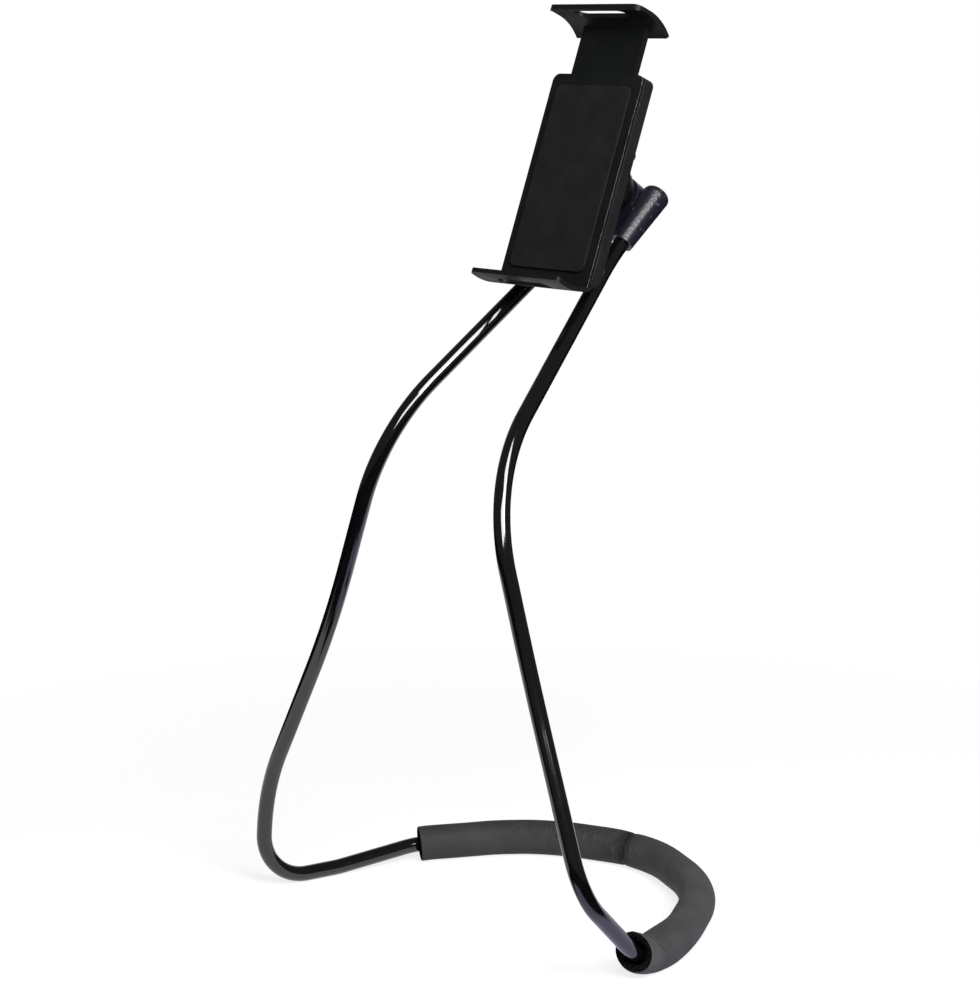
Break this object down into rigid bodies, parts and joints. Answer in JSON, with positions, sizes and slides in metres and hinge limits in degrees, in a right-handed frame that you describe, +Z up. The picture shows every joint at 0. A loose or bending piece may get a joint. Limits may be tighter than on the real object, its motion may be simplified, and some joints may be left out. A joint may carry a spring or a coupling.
{
  "type": "neck phone holder",
  "caption": "Bendable rod bent into a neck loop with a foam sleeve, carrying a sprung phone clamp on a ball joint; also stands on a table.",
  "frame": {"origin": "middle of the neck loop on the table plane, in the clamp's middle plane", "axes": "+Z up from the table, X across the clamp, the clamp's front faces -Y and the loop's closed end lies at +Y"},
  "size_m": [0.23, 0.1758, 0.4504],
  "materials": {
    "rod_sheath": "glossy black flexible sheath",
    "rod_core": "soft bendable wire",
    "foam": "matte charcoal closed-cell foam",
    "yoke": "satin blue-black moulding",
    "seat": "natural low-friction plastic",
    "nut": "satin black moulding",
    "clamp_shell": "fine satin dark grey moulding",
    "jaw_gloss": "polished black moulding",
    "pad": "matte soft pad",
    "steel": "plated steel"
  },
  "bodies": {
    "gooseneck": {"gooseneck_core": "rod_core", "gooseneck_sheath": "rod_sheath", "neck_foam_sleeve": "foam", "twin_socket_yoke": "yoke"},
    "ball_seat": {"ball_seat_cup": "seat", "ball_seat_ring": "seat"},
    "clamp": {"rear_housing": "clamp_shell", "front_plate": "jaw_gloss", "front_pad": "pad", "housing_screws": "steel", "jaw_spring_left": "steel", "jaw_spring_right": "steel"},
    "jaw": {"upper_jaw": "jaw_gloss"},
    "nut": {"lock_nut": "nut"}
  },
  "joints": [
    {"name": "clamp_tilt", "type": "hinge", "parent": "gooseneck", "child": "ball_seat", "pos_m": [0, 0.04984, 0.3623], "axis": [-1, 0, 0], "range_deg": [0, 25]},
    {"name": "clamp_swivel", "type": "hinge", "parent": "ball_seat", "child": "clamp", "pos_m": [0, 0.04984, 0.3623], "axis": [0, 0.9323, -0.3616], "range_deg": [-90, 90]},
    {"name": "jaw_slide", "type": "slide", "parent": "clamp", "child": "jaw", "axis": [0, 0.3616, 0.9323], "range_m": [-0.02, 0.045], "deforming": ["jaw_spring_left", "jaw_spring_right"]},
    {"name": "nut_turn", "type": "hinge", "parent": "clamp", "child": "nut", "pos_m": [0, 0.04984, 0.3623], "axis": [0, -0.9323, 0.3616], "range_deg": [0, 180]}
  ]
}
